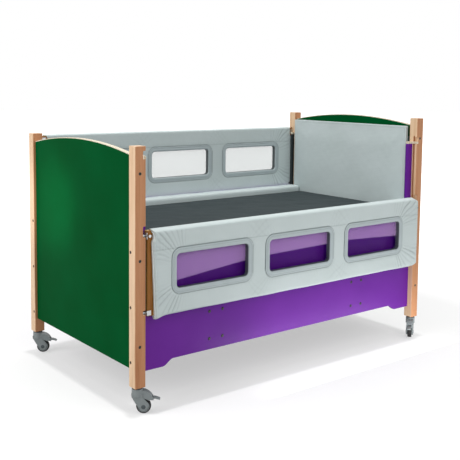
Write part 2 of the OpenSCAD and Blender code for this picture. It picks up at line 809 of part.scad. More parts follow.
module fork(c) {
    color(plastic_grey) at_caster(c) {
        difference() {
            union() {
                translate([0, 0, neck_top - neck_h]) cylinder(h = neck_h - neck_bevel, d = neck_d);
                translate([0, 0, neck_top - neck_bevel])
                    cylinder(h = neck_bevel, d1 = neck_d, d2 = neck_d - neck_bevel - 1);
                across(fork_w) leg_shape();
                across(hood_w) hood_shape();
            }
            across(wheel_w + 3) {
                wheel_room();
                translate([trail - wheel_r - wheel_gap, -cut]) square([2 * (wheel_r + wheel_gap), wheel_r + cut]);
            }
            across(pedal_w + 2) translate([trail + pedal_room, wheel_r + pedal_room])
                square([hood_tip, pedal_z - wheel_r - pedal_room + 11]);
            translate([trail, 0, wheel_r]) rotate([90, 0, 0]) cylinder(h = fork_w + 2, d = axle_d, center = true);
        }
        translate([trail, 0, wheel_r]) rotate([90, 0, 0]) cylinder(h = fork_w, d = axle_d, center = true);
        translate([pedal_x, 0, pedal_z]) rotate([90, 0, 0]) cylinder(h = hood_w, d = pedal_pin, center = true);
    }
}

tread = 7;
hub_r = wheel_r - tread;
hub_dish = 4;
hub_boss = 5;
tyre_crown = 40;

module hub(c) {
    color(plastic_grey) at_caster(c) translate([trail, 0, wheel_r]) rotate([90, 0, 0]) difference() {
        cylinder(h = wheel_w - 1, r = hub_r, center = true);
        cylinder(h = wheel_w + 1, d = axle_d + 2 * pin_fit, center = true);
        for (s = [-1, 1]) translate([0, 0, s * wheel_w / 2]) difference() {
            cylinder(h = 2 * hub_dish, r = hub_r - 3, center = true);
            cylinder(h = 2 * hub_dish + cut, r = axle_d / 2 + hub_boss, center = true);
        }
    }
}

module tyre(c) {
    color(black) at_caster(c) translate([trail, 0, wheel_r]) rotate([90, 0, 0]) rotate_extrude($fn = 96)
        translate([hub_r, 0]) intersection() {
            translate([0, -wheel_w / 2]) square([tread, wheel_w]);
            translate([tread - tyre_crown, 0]) circle(r = tyre_crown, $fn = 96);
        }
}

// Brake pedal, pressed: it turns on its pin in the hood, and its nose bears on the tyre
module pedal(c) {
    color(plastic_grey) at_caster(c) translate([pedal_x, 0, pedal_z]) difference() {
        union() {
            across(boss_w) circle(r = boss_r);
            across(boss_w) rotate(nose_turn) {
                translate([-nose_out, 1 - nose_r]) square([nose_out, 2 * (nose_r - 1)]);
                translate([-nose_out, 0]) circle(r = nose_r);
            }
            across(pedal_w) polygon([[4, 5], [24, 4], [46, -4], [46, -10], [22, -4], [4, -5]]);
        }
        rotate([90, 0, 0]) cylinder(h = pedal_w + 2, d = pedal_pin + 2 * pin_fit, center = true);
    }
}

corner(foot, front) post(foot_post_l, side_bolt_foot);  // foot_post_front
corner(foot, back) post(foot_post_l, side_bolt_foot);  // foot_post_back
corner(head, front) post(head_post_l, side_bolt_head);  // head_post_front
corner(head, back) post(head_post_l, side_bolt_head);  // head_post_back
end_panel(foot, foot_top);  // foot_panel
end_panel(head, head_top);  // head_panel
arch_strips();
side_panel(front);  // front_side_panel
side_panel(back);  // back_side_panel
guide_battens();
rest_blocks();
frame_bolts();
plate_bolts();
cross_beams();
support_posts();
bearers();
slats();
pad_board(foot);  // foot_pad_board
pad_board(head);  // head_pad_board
end_pad(foot);  // foot_pad
end_pad(head);  // head_pad
liner(front);  // front_liner
liner(back);  // back_liner
mattress();
stiles(front);  // front_stiles
rails(front);  // front_rails
cover(front);  // front_cover
window_frames(front);  // front_window_frames
windows(front);  // front_windows
end_brackets(front);  // front_end_brackets
end_seals(front);  // front_end_seals
latch(front, foot);  // front_latch_foot
latch(front, head);  // front_latch_head
stiles(back);  // back_stiles
rails(back);  // back_rails
cover(back);  // back_cover
window_frames(back);  // back_window_frames
windows(back);  // back_windows
end_brackets(back);  // back_end_brackets
end_seals(back);  // back_end_seals
latch(back, foot);  // back_latch_foot
latch(back, head);  // back_latch_head
caster_sockets();
fork(casters[0]);  // fork_foot_front
hub(casters[0]);  // hub_foot_front
tyre(casters[0]);  // tyre_foot_front
pedal(casters[0]);  // pedal_foot_front
fork(casters[1]);  // fork_foot_back
hub(casters[1]);  // hub_foot_back
tyre(casters[1]);  // tyre_foot_back
pedal(casters[1]);  // pedal_foot_back
fork(casters[2]);  // fork_head_front
hub(casters[2]);  // hub_head_front
tyre(casters[2]);  // tyre_head_front
pedal(casters[2]);  // pedal_head_front
fork(casters[3]);  // fork_head_back
hub(casters[3]);  // hub_head_back
tyre(casters[3]);  // tyre_head_back
pedal(casters[3]);  // pedal_head_back
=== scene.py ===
import bpy, bmesh, json, math
import numpy as np
from itertools import product
from mathutils import Matrix, Vector
from types import SimpleNamespace as Values


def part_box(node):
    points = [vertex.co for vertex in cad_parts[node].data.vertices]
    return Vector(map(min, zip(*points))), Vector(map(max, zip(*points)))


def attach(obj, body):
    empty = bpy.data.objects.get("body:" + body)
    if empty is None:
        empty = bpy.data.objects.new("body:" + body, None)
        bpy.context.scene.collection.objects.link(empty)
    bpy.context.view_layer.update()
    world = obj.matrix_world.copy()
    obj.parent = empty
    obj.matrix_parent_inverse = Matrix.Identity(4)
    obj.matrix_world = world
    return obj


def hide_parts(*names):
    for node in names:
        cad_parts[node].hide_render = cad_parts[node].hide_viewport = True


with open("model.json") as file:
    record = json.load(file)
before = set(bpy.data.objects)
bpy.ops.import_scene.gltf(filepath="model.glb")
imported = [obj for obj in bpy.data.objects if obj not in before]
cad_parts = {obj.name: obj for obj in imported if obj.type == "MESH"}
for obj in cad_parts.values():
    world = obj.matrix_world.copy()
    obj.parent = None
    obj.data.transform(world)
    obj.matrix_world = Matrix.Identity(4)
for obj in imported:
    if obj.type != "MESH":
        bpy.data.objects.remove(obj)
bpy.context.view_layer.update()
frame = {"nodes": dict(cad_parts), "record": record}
nodes = frame["nodes"]
mm = 0.001
corners = list(product(("foot", "head"), ("front", "back")))


def paint(code):  # a colour as it is written, made linear
    parts = [int(code[i:i + 2], 16) / 255 for i in (1, 3, 5)]
    linear = [c / 12.92 if c <= 0.04045 else ((c + 0.055) / 1.055) ** 2.4 for c in parts]
    return (*linear, 1.0)


def addObject(name, data):
    thing = bpy.data.objects.new(name, data)
    bpy.context.scene.collection.objects.link(thing)
    return thing


# Nodes of any tree. feeds: for each input a socket to link, a colour as it is written or a value
def addNode(tree, kind, feeds, **values):
    node = tree.nodes.new(kind)
    for key, value in values.items():
        setattr(node, key, value)
    for key, value in feeds.items():
        if isinstance(value, bpy.types.NodeSocket):
            tree.links.new(value, node.inputs[key])
        else:
            node.inputs[key].default_value = paint(value) if isinstance(value, str) else value
    return node.outputs


def whiteRays(tree):  # 1 for what the camera, reflections and clear parts see
    rays = addNode(tree, "ShaderNodeLightPath", {})
    seen = rays["Is Camera Ray"]
    for name in ("Is Glossy Ray", "Is Transmission Ray"):
        seen = addNode(tree, "ShaderNodeMath", {0: seen, 1: rays[name]}, operation="MAXIMUM")[0]
    return seen


# Finishes: each one starts from a Principled shader and Object coordinates
class Finish:
    def __init__(self, name, **sockets):
        self.mat = bpy.data.materials.new(name)
        self.mat.use_nodes = True
        self.tree = self.mat.node_tree
        self.shader = self.tree.nodes["Principled BSDF"]
        for key, value in sockets.items():
            self.shader.inputs[key.replace("_", " ")].default_value = value
        self.place = self.add("TexCoord")["Object"]
        self.normal = None

    def add(self, kind, feeds={}, **values):
        return addNode(self.tree, "ShaderNode" + kind, feeds, **values)

    def set(self, name, value):
        self.tree.links.new(value, self.shader.inputs[name])

    def parts(self, vector):
        return self.add("SeparateXYZ", {0: vector})

    def maths(self, how, *values):
        return self.add("Math", dict(enumerate(values)), operation=how)[0]

    def spread(self, value, result, start=(0.0, 1.0)):  # the range start becomes the range result
        limits = {"From Min": start[0], "From Max": start[1], "To Min": result[0], "To Max": result[1]}
        return self.add("MapRange", {"Value": value, **limits})["Result"]

    def noise(self, scale, detail, roughness=0.55, warp=0.0):
        scale = scale if isinstance(scale, tuple) else (scale,) * 3
        place = self.add("Mapping", {"Vector": self.place, "Scale": scale})["Vector"]
        return self.add("TexNoise", {"Vector": place, "Scale": 1.0, "Detail": detail,
                                     "Roughness": roughness, "Distortion": warp})["Fac"]

    def cells(self, scale):
        return self.add("TexVoronoi", {"Vector": self.place, "Scale": scale})["Distance"]

    def ramp(self, value, stops):
        node = self.tree.nodes.new("ShaderNodeValToRGB")
        line = node.color_ramp.elements
        while len(line) < len(stops):
            line.new(0.5)
        for element, (at, colour) in zip(line, stops):
            element.position = at
            element.color = paint(colour) if isinstance(colour, str) else (colour, colour, colour, 1)
        self.tree.links.new(value, node.inputs["Fac"])
        return node.outputs["Color"]

    def mix(self, share, a, b, how="MIX"):
        return self.add("Mix", {0: share, 6: a, 7: b}, data_type="RGBA", blend_type=how)[2]

    def colour(self, value):
        self.set("Base Color", value)

    def rough(self, value, low, high):
        self.set("Roughness", self.spread(value, (low, high)))

    def shade(self, colour, deep, share=0.85):  # painted shade: darker tone in the folds, seams and recesses that a piece marks with its shade attribute
        foldShade = self.add("Attribute", attribute_name="foldShade")["Fac"]
        return self.mix(self.maths("MULTIPLY", foldShade, share), colour, deep)

    def bump(self, height, strength, depth):
        feeds = {"Height": height, "Strength": strength, "Distance": depth}
        if self.normal:
            feeds["Normal"] = self.normal
        self.normal = self.add("Bump", feeds)["Normal"]
        self.set("Normal", self.normal)


def stretch(along, lengthwise, across):  # a texture's scale on x, y and z
    return tuple(lengthwise if axis == along else across for axis in "xyz")


# Beech: grain runs along one axis, with short dark flecks
# the tone of the y faces is painted shade multiplied onto the posts
beech = Values(
    gloss=0.42, shine=0.3, grain=(2.2, 55.0), board=(0.7, 14.0), flecks=(70.0, 900.0), cutTone="#d2b09a")


def beechFinish(name, along, light, mid, dark):
    gloss = beech.gloss
    f = Finish(name, Roughness=gloss, Specular_IOR_Level=beech.shine)
    grain = f.noise(stretch(along, *beech.grain), detail=5, roughness=0.6, warp=0.6)
    board = f.noise(stretch(along, *beech.board), detail=2, roughness=0.5)
    flecks = f.noise(stretch(along, *beech.flecks), detail=2, roughness=0.5)
    base = f.ramp(grain, [(0.25, dark), (0.5, mid), (0.78, light)])
    base = f.mix(f.ramp(board, [(0.35, 0.0), (0.7, 0.55)]), base, light)
    base = f.mix(f.ramp(flecks, [(0.62, 0.0), (0.74, 0.5)]), base, dark)
    if along == "z":  # painted shade: the faces turned along y are multiplied darker, to the tone they have out of the side lamp's light; a small part of it is the real deeper tone of faces cut across the rings
        normal = f.add("NewGeometry")["Normal"]
        turned = f.maths("ABSOLUTE", f.parts(normal)["Y"])
        base = f.mix(turned, base, f.mix(1.0, base, beech.cutTone, "MULTIPLY"))
    f.colour(base)
    f.rough(grain, low=gloss - 0.06, high=gloss + 0.08)
    f.bump(grain, strength=0.12, depth=0.0006)
    return f.mat


# Coated board: even colour with a faint mottle and a slightly uneven satin surface
def boardFinish(name, colour, deep, gloss, shine):
    f = Finish(name, Roughness=gloss, Specular_IOR_Level=shine)
    f.colour(f.mix(f.ramp(f.noise(3.0, detail=3), [(0.3, 0.0), (0.75, 1.0)]), colour, deep))
    f.rough(f.noise(45.0, detail=3), low=gloss - 0.05, high=gloss + 0.06)
    f.bump(f.noise(420.0, detail=2), strength=0.06, depth=0.0004)
    return f.mat


purpleTones = ("#6a2396", "#601c8b")


def battenFinish(name, atBack):  # purple at the front, another tone at the back of the bed
    f = Finish(name, Roughness=0.45, Specular_IOR_Level=0.1)
    back = f.ramp(f.parts(f.place)["Y"], [(0.0, 0.0), (0.05, 1.0)])
    f.colour(f.mix(back, f.mix(f.noise(3.0, detail=3), *purpleTones), atBack))
    f.bump(f.noise(420.0, detail=2), strength=0.06, depth=0.0004)
    return f.mat


# Vinyl: fine leather grain over slow changes of tone
# crease: the colour of the painted shade in the marked folds and seams
def vinylFinish(name, colour, deep, grain=0.22, gloss=0.5, shine=0.35, crease="#707b7d"):
    f = Finish(name, Roughness=gloss, Specular_IOR_Level=shine)
    tone = f.ramp(f.noise(4.0, detail=3), [(0.3, 0.0), (0.72, 1.0)])
    f.colour(f.shade(f.mix(tone, colour, deep), crease))
    f.rough(f.noise(60.0, detail=3), low=gloss - 0.07, high=gloss + 0.07)
    f.bump(f.cells(650.0), strength=grain, depth=0.0004)
    f.bump(f.noise(38.0, detail=3), strength=0.12, depth=0.0012)
    return f.mat


# Moulded plastic: satin, with a very fine spark texture
# crease: the colour of the painted shade on the marked walls, grooves and rims
def plasticFinish(name, colour, deep, gloss, spark=0.1, crease="#242b2d"):
    f = Finish(name, Roughness=gloss)
    f.colour(f.shade(f.mix(f.noise(16.0, detail=3), colour, deep), crease))
    f.rough(f.noise(120.0, detail=3), low=gloss - 0.05, high=gloss + 0.08)
    f.bump(f.noise(1400.0, detail=2), strength=spark, depth=0.0003)
    return f.mat


def steelFinish(name, colour, gloss, worn="#8d9092"):  # fine drawn marks along x
    f = Finish(name, Roughness=gloss, Metallic=1.0)
    marks = f.noise(stretch("x", 20.0, 700.0), detail=3)
    f.colour(f.mix(marks, colour, worn))
    f.rough(marks, low=gloss - 0.06, high=gloss + 0.1)
    f.bump(marks, strength=0.06, depth=0.0002)
    return f.mat


# Clear sheet: painted reflection. One tone low down and a paler haze above a soft line stand for the bright
# surroundings reflected in the upper part; the line is given as x and z in mm
paintedReflection = Values(reach=1000, edge=0.004, line=((-843, 650), (-430, 692), (-215, 705), (410, 718), (863, 697)))


def sheetFinish(name, low, colour, gleam, clear, pale):  # clear and pale: how solid it is low and high
    f = Finish(name, Roughness=0.06, Specular_IOR_Level=0.04)
    f.rough(f.noise(26.0, detail=4), low=0.03, high=0.12)
    place, reach, edge = f.parts(f.place), paintedReflection.reach, (-paintedReflection.edge, paintedReflection.edge)
    across = f.spread(place["X"], (0.0, 1.0), (-reach * mm, reach * mm))
    line = f.ramp(across, [((x + reach) / (2 * reach), z * mm) for x, z in paintedReflection.line])
    above = f.maths("SUBTRACT", place["Z"], line)
    # painted reflection: a paler, more solid tone above the line
    reflectionTone = f.mix(f.noise(2.2, detail=2), colour, gleam)
    f.colour(f.mix(f.spread(above, (0.0, 1.0), edge), low, reflectionTone))
    f.set("Alpha", f.spread(above, (clear, pale), edge))
    return f.mat


def edgeFinish(name):  # birch ply seen from its edge: thin layers of two tones
    f = Finish(name, Roughness=0.55)
    layers = f.noise((420.0, 420.0, 30.0), detail=2)
    f.colour(f.ramp(layers, [(0.38, "#b9a27e"), (0.5, "#e6dcc4"), (0.62, "#f2ecdc")]))
    f.bump(layers, strength=0.15, depth=0.0004)
    return f.mat


finishes = {
    "post": beechFinish("beech_post", "z", "#f1d2b0", "#e5bf98", "#c79a70"),
    "slat": beechFinish("beech_slat", "y", "#efd3ae", "#e5c39b", "#cfa67e"),
    "rail": beechFinish("beech_rail", "x", "#e7c193", "#d9ad79", "#b98552"),
    "stile": beechFinish("beech_stile", "z", "#c9a04a", "#a87f30", "#7d5418"),
    "edge": edgeFinish("birch_edge"),
    "green": boardFinish("green_board", "#005428", "#004a20", gloss=0.36, shine=0.005),
    "purple": boardFinish("purple_board", *purpleTones, gloss=0.4, shine=0.16),
    "vinyl": vinylFinish("grey_vinyl", "#cad5d5", "#c4d0cf"),
    # the dark vinyl's crease colour is painted shade in the piping grooves
    "mattress": vinylFinish("dark_vinyl", "#394143", "#333b3d", grain=0.3, gloss=0.7, shine=0.1,
                            crease="#1c2122"),
    "batten": battenFinish("batten_board", "#363d3f"),
    "darkBoard": boardFinish("dark_board", "#454f51", "#3b4446", gloss=0.45, shine=0.2),
    "moulding": plasticFinish("grey_moulding", "#b4c0c2", "#aab6b8", gloss=0.42),
    # the sheets' colours and their paler upper part are painted reflection
    "sheet": sheetFinish("clear_sheet", "#360078", "#e0acff", "#efc8ff", clear=0.15, pale=0.24),
    "backSheet": sheetFinish("clear_sheet_back", "#b0bcba", "#b0bcba", "#b8c4c2", clear=0.25, pale=0.34),
    "bright": steelFinish("bright_steel", "#d5d8da", gloss=0.26),
    "tube": steelFinish("grey_steel", "#9a9ea0", gloss=0.45),
    "bolt": plasticFinish("black_steel", "#24281f", "#1b1e18", gloss=0.4),
    "trim": plasticFinish("black_trim", "#1c1d1e", "#121314", gloss=0.5),
    "caster": plasticFinish("grey_plastic", "#8b9293", "#777f80", gloss=0.38, spark=0.16),
    "tyre": plasticFinish("tyre_black", "#0f1011", "#0a0b0b", gloss=0.75, spark=0.3),
    "axleCap": plasticFinish("dark_plastic", "#465053", "#3c4548", gloss=0.45),
    "piping": vinylFinish("white_piping", "#eef1f0", "#dfe4e3", grain=0.1, gloss=0.45),
    "thread": vinylFinish("grey_thread", "#a7b2b3", "#98a3a4", grain=0.3, gloss=0.7),
    "darkThread": vinylFinish("dark_thread", "#2f3638", "#262c2e", grain=0.3, gloss=0.7),
}
print("finishes ready:", len(finishes))


def pair(name):
    return [f"front_{name}", f"back_{name}"]


carried = {
    "post": [f"{end}_post_{side}" for end, side in corners],
    "green": ["foot_panel", "head_panel"],
    "edge": ["arch_strips", "rest_blocks"],
    "purple": pair("side_panel"),
    "batten": ["guide_battens"],
    "bolt": ["frame_bolts", "plate_bolts"],
    "tube": ["cross_beams", "support_posts", "bearers"],
    "slat": ["slats"],
    "darkBoard": ["foot_pad_board", "head_pad_board"],
    "stile": pair("stiles"),
    "rail": pair("rails"),
    "sheet": ["front_windows"],
    "backSheet": ["back_windows"],
    "bright": pair("end_brackets") + pair("latch_foot") + pair("latch_head"),
    "trim": pair("end_seals") + ["caster_sockets"],
    "caster": [f"{part}_{end}_{side}" for part in ("hub", "pedal") for end, side in corners],
    "tyre": [f"tyre_{end}_{side}" for end, side in corners],
}
for finish, names in carried.items():
    for name in names:
        part = nodes[name]
        if not part.material_slots:
            part.data.materials.append(finishes[finish])
        for slot in part.material_slots:
            slot.material = finishes[finish]
print("frame dressed:", sum(len(names) for names in carried.values()), "nodes")


# Meshes
def makePiece(name, points, faces, finish, body, foldShade=None):
    mesh = bpy.data.meshes.new(name)
    mesh.from_pydata([tuple(p) for p in points], [], faces)
    # painted shade for each point, which the finishes turn into a darker tone
    if foldShade is not None:
        shades = mesh.attributes.new("foldShade", "FLOAT", "POINT").data
        shades.foreach_set("value", np.clip(foldShade, 0, 1).astype(np.float32))
    work = bmesh.new()
    work.from_mesh(mesh)
    bmesh.ops.remove_doubles(work, verts=work.verts, dist=1e-6)
    bmesh.ops.recalc_face_normals(work, faces=work.faces)
    work.to_mesh(mesh)
    work.free()
    mesh.materials.append(finishes[finish])
    mesh.shade_smooth()
    piece = addObject(name, mesh)
    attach(piece, body)
    return piece


def ticks(marks, step):  # even divisions between marks, as close to step as they fit
    line = [marks[0]]
    for a, b in zip(marks, marks[1:]):
        n = max(1, round(abs(b - a) / step))
        line += [a + (b - a) * k / n for k in range(1, n + 1)]
    return np.array(line)


def rim(length, radius, steps=7):  # divisions that follow a rounded rim at both ends
    turn = [radius * (1 - math.cos(k / steps * math.pi / 2)) for k in range(steps + 1)]
    return turn, [length - t for t in reversed(turn)]


def rimmed(low, start, stop, *middle):  # one line of divisions from the parts between two rims
    return np.concatenate([[low + s for s in start[:-1]], *middle, [low + s for s in stop[1:]]])


def rounded(s, radius):
    s = np.clip(s, 0, radius)
    return np.sqrt(np.maximum(0, 1 - (1 - s / radius) ** 2))


def bell(far, wide):
    return np.exp(-(far / wide) ** 2)


ripple = Values(count=7, shortest=0.6, longest=1.7, level=3.2)


def waves(x, z, length, seed):  # smooth irregular ripple between about -1 and 1
    pick = np.random.default_rng(seed)
    total = 0
    for _ in range(ripple.count):
        a, p = pick.uniform(0, 2 * math.pi, 2)
        k = 2 * math.pi / (length * pick.uniform(ripple.shortest, ripple.longest))
        total = total + np.sin(k * (x * math.cos(a) + z * math.sin(a)) + p)
    return total / ripple.level


def smooth(t):
    t = np.clip(t, 0, 1)
    return t * t * (3 - 2 * t)


# Drop sides. Side points: x along the bed, y inward from the face of the posts, z with the side down
bed = Values(halfWidth=605, travel=400)
dropSide = Values(
    half=1000, low=484, high=929, coverFront=-22, coverBack=33, seamY=6, rimTop=17, rimBack=7, rimEnd=9)
window = Values(halfWide=233, halfHigh=88, corner=22, frame=30, pitch=620, middle=704)
opening = Values(wide=window.halfWide + 6, high=window.halfHigh + 6)  # half of a hole in the cover


def sidePoints(side, x, y, z):
    across = (-bed.halfWidth + y) if side == "front" else (bed.halfWidth - y)
    up = z + (bed.travel if side == "back" else 0)
    return np.stack([x, across, up], axis=-1) * mm


def fromFrame(x, z):  # distance outside the nearest window frame
    r = window.corner + window.frame
    far = []
    for i in (-1, 0, 1):
        qx = np.abs(x - i * window.pitch) - (window.halfWide + window.frame - r)
        qz = np.abs(z - window.middle) - (window.halfHigh + window.frame - r)
        corner = np.hypot(np.maximum(qx, 0), np.maximum(qz, 0))
        far.append(corner + np.minimum(np.maximum(qx, qz), 0) - r)
    return np.minimum.reduce(far)


# The foot edge of the cover slants, and its notch clears the drawn latch bolt
footSide = Values(begins=860, over=140, inset=26, slant=20, notch=8.5, notchAt=893.0, notchHalf=22.0)


def footEdge(z):  # how far the foot edge of the cover stands in from its end
    tall = np.clip((z - dropSide.low) / (dropSide.high - dropSide.low), 0, 1)
    notch = np.exp(-((z - footSide.notchAt) / footSide.notchHalf) ** 4)
    return footSide.inset - footSide.slant * tall + footSide.notch * notch


# Relief of the cover: how far it is pressed in (+) or stands out (-) in mm, and the painted shade laid in its
# folds and grooves
# sink: the cover is pressed in round each frame, with painted shade in the groove beside the frame
sink = Values(deep=3.6, wide=9.0, dark=0.95, darkAt=1.2, darkWide=2.4)
pleats = Values(
    spacing=0.15, deep=4.2, lift=1.4, dark=0.55, centre=0.80, wide=0.62, inner=0.22, innerWide=0.3,
    inX=60.0, inZ=50.0, reach=285.0, reachFade=60, frameGap=3, frameFade=12, edgeGap=5, edgeFade=20,
    steady=0.66, uneven=0.34, beat=10.0, sway=0.04, swayLength=200, groove=0.55, line=0.38,
    phase=(2.1, 1.3, 0.7))
gathers = {
    "top": Values(
        at=826, before=6, fade=30, pitch=19, deep=0.5, dark=0.1, sway=(2.5, 140, 5), level=(160, 8)),
    "bottom": Values(
        at=582, before=8, fade=24, pitch=23, deep=0.4, dark=0.08, sway=(2.5, 120, 6), level=(190, 4)),
    "ends": Values(
        at=988, before=20, fade=42, pitch=21, deep=0.7, dark=0.12, sway=(2.8, 150, 10), level=(130, 11))}
seamFade = (2, 6)  # gathers start this far from a frame and grow over this much
topSeam = Values(at=822, wide=1.5, deep=1.6, dark=0.35)
swell = Values(slow=0.9, slowLength=190, fade=20, fine=0.3, fineLength=46)


def fanCreases(relief, foldShade, x, z, d, seed):  # creases that fan out from the corners of the windows
    edge = np.minimum(dropSide.half - np.abs(x), np.minimum(z - dropSide.low, dropSide.high - z))
    for i, sx, sz in product((-1, 0, 1), (-1, 1), (-1, 1)):
        ax = (x - i * window.pitch) * sx - (window.halfWide - pleats.inX)
        az = (z - window.middle) * sz - (window.halfHigh - pleats.inZ)
        r, turn = np.hypot(ax, az), np.arctan2(az, ax)
        outer = i * sx == 1  # a corner towards an end of the bed
        fan = np.exp(-((turn - pleats.centre) / (pleats.wide if outer else pleats.innerWide)) ** 4)
        fan = fan * (1.0 if outer else pleats.inner)
        grow = smooth((d - pleats.frameGap) / pleats.frameFade)
        grow = grow * smooth((edge - pleats.edgeGap) / pleats.edgeFade)
        grow = grow * smooth((pleats.reach - r) / pleats.reachFade)
        byWindow, byHeight, bySide = pleats.phase
        phase = turn * pleats.beat + byWindow * i + byHeight * sz + bySide * sx
        grow = grow * (pleats.steady + pleats.uneven * np.cos(phase))
        sway = pleats.sway * waves(x, z, pleats.swayLength, seed + 3 + i)
        crease = np.abs(np.sin(math.pi * (turn + sway) / pleats.spacing))
        relief = relief + fan * grow * (pleats.deep * bell(crease, pleats.groove) - pleats.lift)
        # painted shade along each crease line
        foldShade = foldShade + pleats.dark * fan * grow * bell(crease, pleats.line)
    return relief, foldShade


def addGathers(relief, foldShade, x, z, d, seed):  # small folds by the long seams and at the ends
    gap, fade = seamFade
    close = np.clip((d - gap) / fade, 0, 1)
    soft = smooth((d - pleats.frameGap) / pleats.frameFade)
    zones = (("top", x, (x, z * 0), z - gathers["top"].at, close),
             ("bottom", x, (x, z * 0), gathers["bottom"].at - z, close),
             ("ends", z, (x * 0, z), gathers["ends"].at - np.abs(x), soft))
    for name, run, flat, far, near in zones:
        look = gathers[name]
        mask = np.exp(-np.maximum(far, 0) / look.fade) * (far > -look.before) * near
        share, length, add = look.sway
        sway = share * waves(x, z, length, seed + add)
        length, add = look.level
        level = 0.5 + 0.5 * waves(*flat, length, seed + add)
        gather = np.cos(run / look.pitch * 2 * math.pi + sway) * level
        relief = relief + look.deep * mask * gather
        # painted shade in the troughs of the gathers
        foldShade = foldShade + look.dark * mask * smooth(gather)
    return relief, foldShade


def coverRelief(x, z, seed):
    d = fromFrame(x, z)
    relief = sink.deep * bell(np.maximum(d, 0), sink.wide)
    foldShade = sink.dark * bell(d - sink.darkAt, sink.darkWide)
    relief, foldShade = fanCreases(relief, foldShade, x, z, d, seed)
    relief, foldShade = addGathers(relief, foldShade, x, z, d, seed)
    seam = bell(z - topSeam.at, topSeam.wide) * (d > 0)
    relief = relief + topSeam.deep * seam
    # painted shade in the groove of the top seam
    foldShade = foldShade + topSeam.dark * seam
    slow = swell.slow * waves(x, z, swell.slowLength, seed) * np.clip(d / swell.fade, 0, 1)
    return relief + slow + swell.fine * waves(x, z, swell.fineLength, seed + 1), foldShade


coverGrid = Values(cell=6.5, fine=3.5, fineFrom=800, row=4.4)


def coverLines():  # the grid of the cover, with a line on every edge of an opening
    half, low, high, limit = dropSide.half, dropSide.low, dropSide.high, coverGrid.fineFrom
    startX, stopX = rim(2 * half, dropSide.rimEnd)
    startZ, stopZ = rim(high - low, dropSide.rimTop)
    holes = [i * window.pitch + way * opening.wide for i in (-1, 0, 1) for way in (-1, 1)]
    seamRows = [topSeam.at + k * topSeam.wide for k in (-2, -1, 0, 1, 2)]
    rows = [window.middle - opening.high, window.middle + opening.high, *seamRows]
    us = rimmed(-half, startX, stopX,
                ticks([-half + startX[-1], holes[0], -limit], coverGrid.fine)[:-1],
                ticks([-limit, *holes[1:-1], limit], coverGrid.cell),
                ticks([limit, holes[-1], -half + stopX[0]], coverGrid.fine)[1:])
    vs = rimmed(low, startZ, stopZ, ticks([low + startZ[-1], *rows, low + stopZ[0]], coverGrid.row))
    return us, vs


coverShape = Values(
    fadeIn=14, backOut=1.5, backShare=0.45, flatFrom=900, flatDepth=0.2, tip=42, tipDrop=11, sag=1.6,
    sagLength=420, widen=18.5, widenOver=24.2)
# The flap at the head end clears the rest plate and the post
headFlap = Values(
    begins=880, over=120, edge=26, long=33, reachFrom=940, reachOver=60, reach=8, reachMore=8, clearAt=872,
    clearOver=16, start=0.1, ease=0.3, liftPace=3, frontIn=4, frontY=-7.0, backY=-4.5)


def coverLayers(side, u, v, seed):  # points of the outer and the inner layer, and the folds
    half, low, high, mid = dropSide.half, dropSide.low, dropSide.high, dropSide.seamY
    toEnd, toEdge = half - np.abs(u), np.minimum(v - low, high - v)
    ends = rounded(toEnd, dropSide.rimEnd)
    depth = ends * rounded(toEdge, dropSide.rimTop)
    depthBack = ends * rounded(toEdge, dropSide.rimBack)
    relief, foldShade = coverRelief(u, v, seed)
    inside = smooth(np.minimum(toEnd, toEdge) / coverShape.fadeIn)
    frontY = mid - (mid - dropSide.coverFront) * depth + relief * inside
    pressed = (coverShape.backOut - coverShape.backShare * relief) * inside
    backY = mid + (dropSide.coverBack - mid) * depthBack + pressed
    covered = (inside > 0.99) & (np.abs(u) > coverShape.flatFrom)  # no stile shows through
    backY = np.where(covered, np.maximum(backY, dropSide.coverBack - coverShape.flatDepth), backY)
    tall = (v - low) / (high - low)
    foot = smooth((-u - footSide.begins) / footSide.over)
    head = smooth((u - headFlap.begins) / headFlap.over) * smooth(toEdge / headFlap.edge)
    frontX = u + foot * footEdge(v) + head * headFlap.long
    nearEnd = smooth((u - headFlap.reachFrom) / headFlap.reachOver)
    more = headFlap.reachMore * smooth((headFlap.clearAt - v) / headFlap.clearOver)
    reach = nearEnd * (headFlap.reach + more)
    backX = u + foot * footEdge(v) + reach
    tip = np.exp(-(((u + half) / coverShape.tip) ** 2 + ((v - low) / coverShape.tip) ** 2))
    uneven = 1 + waves(u, v * 0, coverShape.sagLength, seed + 9)
    z = v + (-coverShape.tipDrop * tip - coverShape.sag * (1 - tall) * uneven)
    flap = (u > half - dropSide.rimEnd - 0.01) * head
    step = (u - (half - dropSide.rimEnd)) / dropSide.rimEnd
    start = headFlap.start
    backX = backX + flap * smooth((step - start) / (1 - start)) * (headFlap.long - reach)
    lift = (flap > 0) * smooth(head / headFlap.ease) * smooth(step * headFlap.liftPace)
    backY = backY * (1 - lift) + headFlap.backY * lift
    frontY = frontY - headFlap.frontIn * head * nearEnd
    frontY = frontY * (1 - lift) + np.minimum(frontY, headFlap.frontY) * lift
    outer, inner = [frontX, frontY, z], [backX, backY, z]
    hidden = inner if side == "front" else outer
    for i in (-1, 0, 1):  # the openings widen on the side turned away from the sheet
        x, up = u - i * window.pitch, v - window.middle
        away = np.maximum(np.abs(x) - opening.wide, np.abs(up) - opening.high)
        wider = coverShape.widen * np.clip(1 - away / coverShape.widenOver, 0, 1) * (away > -1)
        hidden[0] = hidden[0] + x / opening.wide * wider
        hidden[2] = hidden[2] + up / opening.high * wider
    edge = (u <= u[0, 0]) | (u >= u[-1, -1]) | (v <= v[0, 0]) | (v >= v[-1, -1])
    inner = [np.where(edge, a, b) for a, b in zip(outer, inner)]
    return [sidePoints(side, *layer).reshape(-1, 3) for layer in (outer, inner)], foldShade


